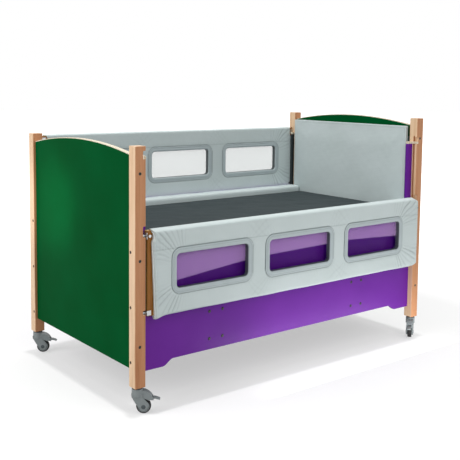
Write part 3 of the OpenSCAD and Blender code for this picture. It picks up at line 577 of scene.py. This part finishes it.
def coverFaces(us, vs):  # both layers, joined round the openings
    nu, nv = len(us), len(vs)
    solid = np.ones((nu - 1, nv - 1), bool)
    midU, midV = (us[1:] + us[:-1]) / 2, (vs[1:] + vs[:-1]) / 2
    for i in (-1, 0, 1):
        solid[np.ix_(np.abs(midU - i * window.pitch) < opening.wide,
                     np.abs(midV - window.middle) < opening.high)] = False
    number = np.arange(nu * nv).reshape(nu, nv)
    cells = list(product(range(nu - 1), range(nv - 1)))
    faces = []
    for i, j in cells:
        if solid[i, j]:
            q = (number[i, j], number[i + 1, j], number[i + 1, j + 1], number[i, j + 1])
            faces.append(tuple(int(n) for n in q))
            faces.append(tuple(int(n) + nu * nv for n in reversed(q)))
    for i, j in cells:
        for di, dj, a, b in ((1, 0, (1, 0), (1, 1)), (0, 1, (1, 1), (0, 1))):
            ni, nj = i + di, j + dj
            if ni < nu - 1 and nj < nv - 1 and solid[i, j] != solid[ni, nj]:
                p, q = int(number[i + a[0], j + a[1]]), int(number[i + b[0], j + b[1]])
                faces.append((p, q, q + nu * nv, p + nu * nv))
    return faces


def makeCover(side, seed):
    us, vs = coverLines()
    layers, foldShade = coverLayers(side, *np.meshgrid(us, vs, indexing="ij"), seed)
    faces = coverFaces(us, vs)
    used = sorted({n for face in faces for n in face})
    renumber = {n: k for k, n in enumerate(used)}
    points = np.concatenate(layers)[used]
    foldShade = np.tile(foldShade.ravel(), 2)[used]
    faces = [tuple(renumber[n] for n in face) for face in faces]
    cover = makePiece(f"{side}_padded_cover", points, faces, "vinyl", f"{side}_drop_side", foldShade)
    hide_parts(f"{side}_cover")
    print(cover.name, len(cover.data.polygons), "faces")


# Moulded frame: one profile run round the opening. Offsets outward from the opening, then y
outerLip = [(30.2, -16.5), (30.2, -19.2), (29.4, -21.4), (27.6, -22.9), (25.2, -23.4), (22.8, -23.2),
            (21.4, -22.6), (20.4, -22.3), (19.4, -22.6), (18.2, -23.4), (15.5, -24.1), (11.5, -24.4),
            (7.5, -24.1), (4.0, -23.0), (1.6, -21.0), (0.4, -18.0), (0.0, -14.0), (0.0, 2.4)]
innerLip = [(0.0, 6.4), (0.0, 18.0), (0.0, 28.0), (0.6, 31.5), (2.4, 33.8), (6.0, 34.9), (11.5, 35.3),
            (16.0, 34.9), (18.4, 34.5), (19.6, 33.9), (20.6, 33.7), (21.6, 33.9), (23.0, 34.5),
            (25.6, 34.9), (28.2, 34.4), (30.0, 33.2), (30.2, 32.4)]
frameProfile = {
    "front": outerLip + [(0.0, 6.4), (8.8, 16.5), (17.5, 25.5), (23.5, 31.6), (25.0, 33.2), (26.4, 34.2)]
             + innerLip[-3:] + [(26.0, 32.0), (5.5, 9.5), (5.0, -16.5)],
    "back": outerLip[:4] + [(26.4, -22.9), (24.8, -21.6), (17.5, -13.5), (8.8, -5.5), (0.0, 2.4)]
            + innerLip + [(5.0, 32.2), (5.0, 0.5), (25.0, -19.0)]}
# frameTone: how dark the painted shade is on the opening's wall, in the groove and at the outer rim
frameTone = Values(wallTo=0.5, wall=1.0, grooveAt=20.4, grooveWide=1.3, groove=0.22, rimFrom=29.9, rim=0.8)
frameSteps = 12  # divisions of a rounded corner


def frameShade(out):  # painted shade: dark on the wall of the opening, in the groove and at the outer rim
    wall = frameTone.wall * (out < frameTone.wallTo)
    groove = frameTone.groove * math.exp(-((out - frameTone.grooveAt) / frameTone.grooveWide) ** 2)
    return wall + groove + frameTone.rim * (out > frameTone.rimFrom)


def makeFrames(side):
    profile = frameProfile[side]
    path = []
    for corner, (sx, sz) in enumerate(((1, 1), (-1, 1), (-1, -1), (1, -1))):
        for k in range(frameSteps + 1):
            turn = (corner + k / frameSteps) * math.pi / 2
            path.append((sx, sz, math.cos(turn), math.sin(turn)))
    points, faces = [], []
    n, m = len(path), len(profile)
    for i in (-1, 0, 1):
        start = len(points)
        for sx, sz, c, s in path:
            for out, y in profile:
                r = window.corner + out
                x = i * window.pitch + sx * (window.halfWide - window.corner) + r * c
                z = window.middle + sz * (window.halfHigh - window.corner) + r * s
                points.append((x, y, z))
        for a in range(n):
            for b in range(m):
                a2, b2 = (a + 1) % n, (b + 1) % m
                faces.append((start + a * m + b, start + a2 * m + b, start + a2 * m + b2, start + a * m + b2))
    # painted shade of the frame, point by point along the profile
    dark = np.tile([frameShade(out) for out, y in profile], len(points) // m)
    piece = makePiece(f"{side}_moulded_frames", sidePoints(side, *np.array(points).T), faces, "moulding",
                      f"{side}_drop_side", dark)
    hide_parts(f"{side}_window_frames")


for side, seed in (("front", 11), ("back", 31)):
    makeCover(side, seed)
    makeFrames(side)


# Box cushions: a box with rounded edges whose points are then moved by a shape of its own
def boxCushion(name, box, look, shape, finish="vinyl"):
    (lo, hi), radius = box, look.radius
    lines = []
    for k in range(3):
        start, stop = rim(hi[k] - lo[k], radius, 5)
        lines.append(rimmed(lo[k], start, stop, ticks([lo[k] + start[-1], lo[k] + stop[0]], look.cell)))
    sheets, faces = [], []
    first = 0
    for axis in range(3):
        p, q = [(1, 2), (2, 0), (0, 1)][axis]
        for end in (0, 1):
            across, along = np.meshgrid(lines[p], lines[q], indexing="ij")
            sheet = np.zeros(across.shape + (3,))
            sheet[..., p], sheet[..., q], sheet[..., axis] = across, along, hi[axis] if end else lo[axis]
            sheets.append(sheet.reshape(-1, 3))
            n, m = across.shape
            for i in range(n - 1):
                for j in range(m - 1):
                    a, b = first + i * m + j, first + (i + 1) * m + j
                    faces.append((a, b, b + 1, a + 1) if end else (a + 1, b + 1, b, a))
            first += n * m
    spots = np.concatenate(sheets)
    core = np.clip(spots, lo + radius, hi - radius)
    out = spots - core
    out = out / np.maximum(np.linalg.norm(out, axis=1, keepdims=True), 1e-9)
    points, foldShade = shape(core + radius * out, out)
    return makePiece(name, points * mm, faces, finish, "frame", foldShade)


def inMm(box):
    low, high = box
    return np.array(low) / mm, np.array(high) / mm


def edgeDistance(spots, lo, hi, a, b):  # from the outline seen along the third axis
    nearA = np.minimum(spots[:, a] - lo[a], hi[a] - spots[:, a])
    return np.minimum(nearA, np.minimum(spots[:, b] - lo[b], hi[b] - spots[:, b]))


padLook = Values(
    radius=7.0, cell=9.0, lowGap=0.4, crown=5.0, crownOver=150, seamDepth=1.6, seamAt=9.0, seamWide=1.6,
    seamDark=0.55, pull=0.9, pullLength=210, pullFade=60, fine=0.25, fineLength=42, rough=0.5,
    roughPitch=11, roughSway=2, roughLength=90, roughFade=26, beltWide=1.4, beltDark=0.5, darkWide=1.8,
    side=(1.3, 1.2), top=(0.8, 1.1))


def makeEndPad(end, seed):
    look = padLook
    lo, hi = inMm(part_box(f"{end}_pad"))
    lo[2] += look.lowGap

    def shape(spots, out):
        d = edgeDistance(spots, lo, hi, 1, 2)
        y, z = spots[:, 1].copy(), spots[:, 2].copy()
        inner = 1 if end == "foot" else -1
        facing = np.clip(out[:, 0] * inner, 0, 1)
        crown = look.crown * (smooth(d / look.crownOver) - 1)
        crease = -look.seamDepth * bell(d - look.seamAt, look.seamWide)
        pull = look.pull * waves(y, z, look.pullLength, seed) * smooth(d / look.pullFade)
        pull = pull + look.fine * waves(y, z, look.fineLength, seed + 1)
        sway = look.roughSway * waves(y, z, look.roughLength, seed + 2)
        gather = np.cos(y / look.roughPitch + sway)
        rough = look.rough * gather * bell(d, look.roughFade)
        spots[:, 0] += inner * facing * (crown + crease + pull + rough)
        boxed = 1 - facing
        belt = bell(spots[:, 0] - (lo[0] + hi[0]) / 2, look.beltWide)
        pressed, full = look.side
        spots[:, 1] -= np.sign(y) * np.abs(out[:, 1]) * boxed * (pressed * belt - full)
        full, pressed = look.top
        spots[:, 2] += out[:, 2] * boxed * (out[:, 2] > 0.5) * (full - pressed * belt)
        # painted shade in the seam groove and round the belt of the sides
        seam = look.seamDark * facing * bell(d - look.seamAt, look.darkWide)
        return spots, seam + look.beltDark * boxed * belt

    pad = boxCushion(f"{end}_cushion", (lo, hi), look, shape)
    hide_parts(f"{end}_pad")


linerLook = Values(
    radius=15.0, cell=12.0, top=7.0, softLength=260, foldLength=70, foldAlong=1.6, foldUp=0.35,
    sideOut=(-1.2, 0.8, 0.5), topOut=(-1.0, 1.0, 0.6), seamAt=22.0, seamWide=2.6, seamDepth=2.0,
    seamDark=0.8)


def makeLiner(side, seed):
    look = linerLook
    lo, hi = inMm(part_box(f"{side}_liner"))

    def shape(spots, out):
        outward = -1 if side == "front" else 1
        against = np.clip(out[:, 1] * outward, 0, 1) * smooth(out[:, 2] * 3)
        spots[:, 2] += (hi[2] - spots[:, 2]) * against + look.top * np.clip(out[:, 2], 0, 1)
        top = np.clip((spots[:, 2] - lo[2]) / (hi[2] - lo[2]), 0, 1)
        soft = waves(spots[:, 0], spots[:, 2], look.softLength, seed)
        along, up = spots[:, 0] * look.foldAlong, spots[:, 2] * look.foldUp
        folds = waves(along, up, look.foldLength, seed + 1)
        base, a, b = look.sideOut
        spots[:, 1] += out[:, 1] * np.abs(out[:, 1]) * (base + a * soft + b * folds) * top
        base, a, b = look.topOut
        spots[:, 2] += out[:, 2] * (out[:, 2] > 0) * (base + a * soft + b * folds)
        # painted shade in the seam groove below the top roll
        belt = bell(spots[:, 2] - (hi[2] - look.seamAt), look.seamWide)
        belt = belt * (np.abs(out[:, 2]) < 0.5)
        spots[:, 1] -= out[:, 1] * np.abs(out[:, 1]) * look.seamDepth * belt
        return spots, look.seamDark * belt

    liner = boxCushion(f"{side}_bolster", (lo, hi), look, shape)
    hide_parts(f"{side}_liner")


mattressLook = Values(
    radius=16.0, cell=12.0, crown=5.0, crownOver=260, folds=1.6, foldLength=120, fineLength=60, piping=1.7,
    pipingAt=9, pipingWide=1.8, pipingDark=0.5, foldAlong=0.55, fineAcross=0.4, fineShare=0.5, foldFade=40,
    bulge=1.0, uneven=0.4, sway=0.6, swayOver=40, wave=0.7, waveLength=160)


def makeMattress(seed):
    look = mattressLook
    lo, hi = inMm(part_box("mattress"))

    def shape(spots, out):
        d = edgeDistance(spots, lo, hi, 0, 1)
        x, y = spots[:, 0].copy(), spots[:, 1].copy()
        folds = waves(x * look.foldAlong, y, look.foldLength, seed)
        fine = waves(x, y * look.fineAcross, look.fineLength, seed + 1)
        folds = folds + look.fineShare * fine
        crown = look.crown * (smooth(d / look.crownOver) - 1)
        crown = crown + look.folds * folds * smooth(d / look.foldFade)
        spots[:, 2] += np.clip(out[:, 2], 0, 1) * crown
        foldShade = 0
        # painted shade in the groove beside each piping
        for height in (hi[2] - look.pipingAt, lo[2] + look.pipingAt):
            belt = bell(spots[:, 2] - height, look.pipingWide) * (np.abs(out[:, 2]) < 0.8)
            foldShade = foldShade + look.pipingDark * belt
            spots[:, 0] -= out[:, 0] * look.piping * belt
            spots[:, 1] -= out[:, 1] * look.piping * belt
        wave = waves(spots[:, 0], spots[:, 2], look.waveLength, seed + 2)
        sway = np.sin(spots[:, 2] / look.swayOver) * look.sway
        sideways = look.bulge + look.uneven * (sway + look.wave * wave)
        bulge = np.abs(out[:, 1]) * np.sign(spots[:, 1]) * sideways
        spots[:, 1] -= bulge * (np.abs(out[:, 2]) < 0.5)
        return spots, foldShade

    mattress = boxCushion("soft_mattress", (lo, hi), look, shape, "mattress")
    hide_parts("mattress")


makeEndPad("foot", 41)
makeEndPad("head", 47)
makeLiner("front", 53)
makeLiner("back", 59)
makeMattress(61)
print("padding made")


# Stitches: a Geometry Nodes tree lays small threads along a curve, on the nearest surface
def stitchTree():
    tree = bpy.data.node_groups.new("stitches", "GeometryNodeTree")
    for name, kind in (("Geometry", "Geometry"), ("Surface", "Object"), ("Spacing", "Float"),
                       ("Length", "Float"), ("Thickness", "Float"), ("Thread", "Material")):
        tree.interface.new_socket(name=name, in_out="INPUT", socket_type="NodeSocket" + kind)
    tree.interface.new_socket(name="Geometry", in_out="OUTPUT", socket_type="NodeSocketGeometry")

    def add(kind, feeds={}, **values):
        return addNode(tree, kind, feeds, **values)

    given = add("NodeGroupInput")
    along = add("GeometryNodeCurveToPoints", {"Curve": given["Geometry"], "Length": given["Spacing"]},
                mode="LENGTH")
    surface = add("GeometryNodeObjectInfo", {"Object": given["Surface"]})["Geometry"]
    near = add("GeometryNodeProximity", {0: surface})["Position"]
    lay = add("GeometryNodeSetPosition", {"Geometry": along["Points"], "Position": near})["Geometry"]
    thread = add("GeometryNodeMeshIcoSphere", {"Radius": 0.5, "Subdivisions": 1})["Mesh"]
    size = add("ShaderNodeCombineXYZ", {"X": given["Thickness"], "Y": given["Thickness"],
                                        "Z": given["Length"]})["Vector"]
    line = add("FunctionNodeAlignRotationToVector", {"Vector": along["Tangent"]}, axis="Z")["Rotation"]
    place = add("GeometryNodeInstanceOnPoints", {"Points": lay, "Instance": thread, "Rotation": line,
                                                 "Scale": size})["Instances"]
    real = add("GeometryNodeRealizeInstances", {"Geometry": place})["Geometry"]
    finish = add("GeometryNodeSetMaterial", {"Geometry": real, "Material": given["Thread"]})["Geometry"]
    add("NodeGroupOutput", {"Geometry": finish})
    return tree


stitchLook = {"Spacing": 0.0062, "Length": 0.0044, "Thickness": 0.0011}
stitches = stitchTree()


def sewAlong(name, lines, surface, body, finish="thread"):
    curve = bpy.data.curves.new(name, "CURVE")
    curve.dimensions = "3D"
    for points in lines:
        row = curve.splines.new("POLY")
        row.points.add(len(points) - 1)
        for point, at in zip(row.points, points):
            point.co = (*at, 1)
    guide = addObject(name + "_guide", curve)
    modifier = guide.modifiers.new("stitches", "NODES")
    modifier.node_group = stitches
    values = dict(stitchLook, Surface=bpy.data.objects[surface], Thread=finishes[finish])
    for socket in stitches.interface.items_tree:
        if socket.in_out == "INPUT" and socket.name in values:
            modifier[socket.identifier] = values[socket.name]
    bpy.context.view_layer.update()
    made = guide.evaluated_get(bpy.context.evaluated_depsgraph_get())
    mesh = bpy.data.meshes.new_from_object(made)
    bpy.data.objects.remove(guide)
    mesh.name = name
    seam = addObject(name, mesh)
    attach(seam, body)
    print(name, len(mesh.polygons), "faces")


seamRow = Values(
    steps=12, padInset=0.014, mattressInset=0.022, coverHeight=826.5,
    coverX=((-998, -892), (-348, -272), (272, 348), (892, 990)), footInset=12, footLow=505, footHigh=905,
    footSteps=30)


def outline(lo, hi, inset, axis, at):  # a rectangle inside a box's face
    p, q = [(1, 2), (2, 0), (0, 1)][axis]
    loop = []
    for a, b in ((0, 0), (1, 0), (1, 1), (0, 1), (0, 0)):
        corner = np.zeros(3)
        corner[p] = (lo[p] + inset, hi[p] - inset)[a]
        corner[q] = (lo[q] + inset, hi[q] - inset)[b]
        corner[axis] = at
        loop.append(corner)
    steps = seamRow.steps
    return [tuple(a + (b - a) * k / steps) for a, b in zip(loop, loop[1:]) for k in range(steps)]


for end in ("foot", "head"):
    low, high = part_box(f"{end}_pad")
    rows = [outline(low, high, seamRow.padInset, 0, high[0] if end == "foot" else low[0])]
    sewAlong(f"{end}_cushion_stitches", rows, f"{end}_cushion", "frame")
low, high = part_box("mattress")
rows = [outline(low, high, seamRow.mattressInset, 2, high[2])]
sewAlong("mattress_stitches", rows, "soft_mattress", "frame", "darkThread")
for side in ("front", "back"):
    rows = []
    for a, b in seamRow.coverX:
        x = np.linspace(a, b, seamRow.steps)
        y = x * 0 + (dropSide.coverFront if side == "front" else dropSide.coverBack)
        rows.append([tuple(p) for p in sidePoints(side, x, y, x * 0 + seamRow.coverHeight)])
    z = np.linspace(seamRow.footLow, seamRow.footHigh, seamRow.footSteps)
    x = -(dropSide.half - seamRow.footInset) + footEdge(z)
    rows.append([tuple(p) for p in sidePoints(side, x, z * 0 + dropSide.coverFront, z)])
    sewAlong(f"{side}_cover_stitches", rows, f"{side}_padded_cover", f"{side}_drop_side")


def makeTube(name, path, radius, ring, finish, body):
    way = np.gradient(path, axis=0)
    way = way / np.linalg.norm(way, axis=1, keepdims=True)
    points, faces = [], []
    for at, t in zip(path, way):
        side = Vector(t).orthogonal().normalized() if not points else side
        side = (side - Vector(t) * side.dot(Vector(t))).normalized()
        other = Vector(t).cross(side)
        for k in range(ring):
            a = 2 * math.pi * k / ring
            points.append(tuple(Vector(at) + radius * (math.cos(a) * side + math.sin(a) * other)))
    last = (len(path) - 1) * ring
    for i in range(0, last, ring):
        for k in range(ring):
            k2 = (k + 1) % ring
            faces.append((i + k, i + k2, i + ring + k2, i + ring + k))
    faces += [tuple(range(ring))[::-1], tuple(last + k for k in range(ring))]
    makePiece(name, points, faces, finish, body)


# The white hem along the foot edge of each cover
hem = Values(
    radius=2.1, ring=10, steps=60, below=9, above=14, y=-9, turnIn=6, outset=0.5, swayX=(0.9, 23),
    swayY=(1.6, 37), turnLow=(12, 22), turnHigh=(26, 14))
for side in ("front", "back"):
    low, high = dropSide.low, dropSide.high
    z = np.linspace(low - hem.below, high - hem.above, hem.steps)
    x = -dropSide.half + footEdge(z) + hem.swayX[0] * np.sin(z / hem.swayX[1]) - hem.outset
    y = hem.y + hem.swayY[0] * np.sin(z / hem.swayY[1])
    (lowFrom, lowOver), (highFrom, highOver) = hem.turnLow, hem.turnHigh
    y = y + hem.turnIn * smooth((low + lowFrom - z) / lowOver)
    y = y + hem.turnIn * smooth((z - high + highFrom) / highOver)
    makeTube(f"{side}_cover_hem", sidePoints(side, x, y, z), hem.radius * mm, hem.ring, "piping",
             f"{side}_drop_side")

# Casters: the fork narrows round the axle so that the tyre shows, and dark caps close the axle
fork = Values(narrow=0.74, above=12.0, below=-8.0, sharpFrom=32)
# levels: shares of the radius and of the height
axleCap = Values(
    radius=11.0, high=2.2, ring=24, sharpFrom=40,
    levels=((1.0, -0.4), (1.0, 0.45), (0.86, 0.85), (0.45, 1.0)))


def makeFork(end, side, axle, axis):  # gives back how far the fork reaches along the axle
    work = bmesh.new()
    work.from_mesh(nodes[f"fork_{end}_{side}"].data)
    bmesh.ops.remove_doubles(work, verts=work.verts, dist=1e-6)
    work.verts.ensure_lookup_table()
    points = np.array([v.co[:] for v in work.verts])
    faces = [tuple(v.index for v in f.verts) for f in work.faces]
    work.free()
    away = points - axle
    along = away @ axis
    radial = away - along[:, None] * axis
    low = smooth((fork.above - radial[:, 2] / mm) / (fork.above - fork.below))
    points = axle + along[:, None] * axis + radial * (1 - (1 - fork.narrow) * low)[:, None]
    piece = makePiece(f"caster_fork_{end}_{side}", points, faces, "caster", f"caster_{end}_{side}")
    piece.data.set_sharp_from_angle(angle=math.radians(fork.sharpFrom))
    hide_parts(f"fork_{end}_{side}")
    return np.abs(along[radial[:, 2] < 0]).max()


def makeAxleCaps(end, side, axle, axis, wide):
    up = np.array((0, 0, 1.0))
    other = np.cross(axis, up)
    points, faces = [], []
    n = axleCap.ring
    for way in (-1, 1):
        start = len(points)
        for share, high in axleCap.levels:
            for k in range(n):
                t = 2 * math.pi * k / n
                flat = (math.cos(t) * up + math.sin(t) * other) * axleCap.radius * share * mm
                points.append(axle + flat + way * axis * (wide + high * axleCap.high * mm))
        for a in range(start, start + 3 * n, n):
            faces += [(a + k, a + (k + 1) % n, a + n + (k + 1) % n, a + n + k) for k in range(n)]
        faces += [tuple(start + k for k in range(n)), tuple(start + 3 * n + k for k in range(n))]
    caps = makePiece(f"axle_caps_{end}_{side}", points, faces, "axleCap", f"caster_{end}_{side}")
    caps.data.set_sharp_from_angle(angle=math.radians(axleCap.sharpFrom))


wheels = {joint["name"]: joint for joint in frame["record"]["behaviour"]["joints"]}
for end, side in corners:
    wheel = wheels[f"wheel_{end}_{side}_roll"]
    axle, axis = np.array(wheel["pos_m"]), np.array(wheel["axis"], float)
    axis /= np.linalg.norm(axis)
    makeAxleCaps(end, side, axle, axis, makeFork(end, side, axle, axis))
print("casters made:", len(corners))

# Floor: white to the camera and in reflections, while the object's shadow stays on it
floorLook = Values(
    size=40.0, tones=("#b4b4b4", "#b1b1b1"), nearTo=1.9, farFrom=3.4, glowNear=0.47, glowFar=1.0)


def makeFloor():
    s = floorLook.size
    mesh = bpy.data.meshes.new("studio_floor")
    mesh.from_pydata([(-s, -s, 0), (s, -s, 0), (s, s, 0), (-s, s, 0)], [], [(0, 1, 2, 3)])
    floor = addObject("studio_floor", mesh)
    f = Finish("studio_floor", Roughness=0.9)
    f.colour(f.mix(f.noise(2.0, detail=2), *floorLook.tones))
    away = f.add("VectorMath", {0: f.place}, operation="LENGTH")["Value"]
    strength = f.spread(away, (floorLook.glowNear, floorLook.glowFar),
                        (floorLook.nearTo, floorLook.farFrom))
    glow = f.add("Emission", {"Strength": strength})[0]
    dark = f.add("Emission", {"Strength": 0.0})[0]
    pick = f.add("MixShader", {0: whiteRays(f.tree), 1: dark, 2: glow})[0]
    both = f.add("AddShader", {0: f.shader.outputs[0], 1: pick})[0]
    f.tree.links.new(both, f.tree.nodes["Material Output"].inputs["Surface"])
    mesh.materials.append(f.mat)


makeFloor()

# World: soft fill for the object, white for what the camera and reflections see
worldLook = Values(fill=0.57, seen=1.0)


def makeWorld():
    world = bpy.data.worlds.new("studio")
    bpy.context.scene.world = world
    world.use_nodes = True
    tree = world.node_tree
    sky = tree.nodes["Background"]
    sky.inputs["Color"].default_value = (1, 1, 1, 1)
    sky.inputs["Strength"].default_value = worldLook.fill
    white = addNode(tree, "ShaderNodeBackground", {"Color": (1, 1, 1, 1), "Strength": worldLook.seen})[0]
    feeds = {0: whiteRays(tree), 1: sky.outputs[0], 2: white}
    pick = addNode(tree, "ShaderNodeMixShader", feeds)[0]
    tree.links.new(pick, tree.nodes["World Output"].inputs["Surface"])


makeWorld()

# Lamps: rectangles, and one soft spot for the lighter patch on the green panel
lamps = {
    "topLamp": {"at": (0, 0, 40.0), "towards": (0, 0, 0), "size": (1.0, 1.0), "power": 6400},
    "sideLamp": {"at": (-5.4, 0.4, 4.0), "towards": (-0.6, 0, 0.8), "size": (4.0, 4.0), "power": 148},
    "frontLamp": {"at": (0.4, -5.0, 4.6), "towards": (0, 0.2, 0.9), "size": (3.5, 3.5), "power": 74},
    "gleamLamp": {"at": (-2.3, -0.15, 1.0), "towards": (-1.085, 0.32, 0.95), "cone": 31, "blend": 1.0,
                  "soft": 0.1, "power": 52},
    "lowLamp": {"at": (0.4, -0.88, 0.05), "towards": (0.4, -0.6, 0.22), "size": (1.5, 0.1), "power": 3.8},
}
for name, look in lamps.items():
    data = bpy.data.lights.new(name, "AREA" if "size" in look else "SPOT")
    data.energy = look["power"]
    if "size" in look:
        data.shape = "RECTANGLE"
        data.size, data.size_y = look["size"]
    else:
        data.spot_size, data.spot_blend = math.radians(look["cone"]), look["blend"]
        data.shadow_soft_size = look["soft"]
    lamp = addObject(name, data)
    lamp.location = look["at"]
    lamp.visible_camera = False
    lamp.rotation_euler = (Vector(look["towards"]) - Vector(look["at"])).to_track_quat("-Z", "Y").to_euler()
print("studio ready:", len(lamps), "lamps")

shot = Values(
    at=(-3.1041, -3.8964, 1.638), azimuth=-38.30, elevation=5.40, roll=0.65, lens=62.68,
    sensor=36.0, shiftY=-0.150)
az, el, roll = (math.radians(angle) for angle in (shot.azimuth, shot.elevation, shot.roll))
back = Vector((math.sin(az) * math.cos(el), -math.cos(az) * math.cos(el), math.sin(el)))
right = (-back).cross(Vector((0, 0, 1))).normalized()
up = right.cross(-back)
right, up = right * math.cos(roll) + up * math.sin(roll), up * math.cos(roll) - right * math.sin(roll)
lens = bpy.data.cameras.new("camera")
lens.lens, lens.sensor_width, lens.shift_y = shot.lens, shot.sensor, shot.shiftY
camera = addObject("camera", lens)
turn = Matrix((right, up, back)).transposed().to_4x4()
camera.matrix_world = Matrix.Translation(shot.at) @ turn
bpy.context.scene.camera = camera
bpy.context.scene.view_settings.view_transform = "Standard"
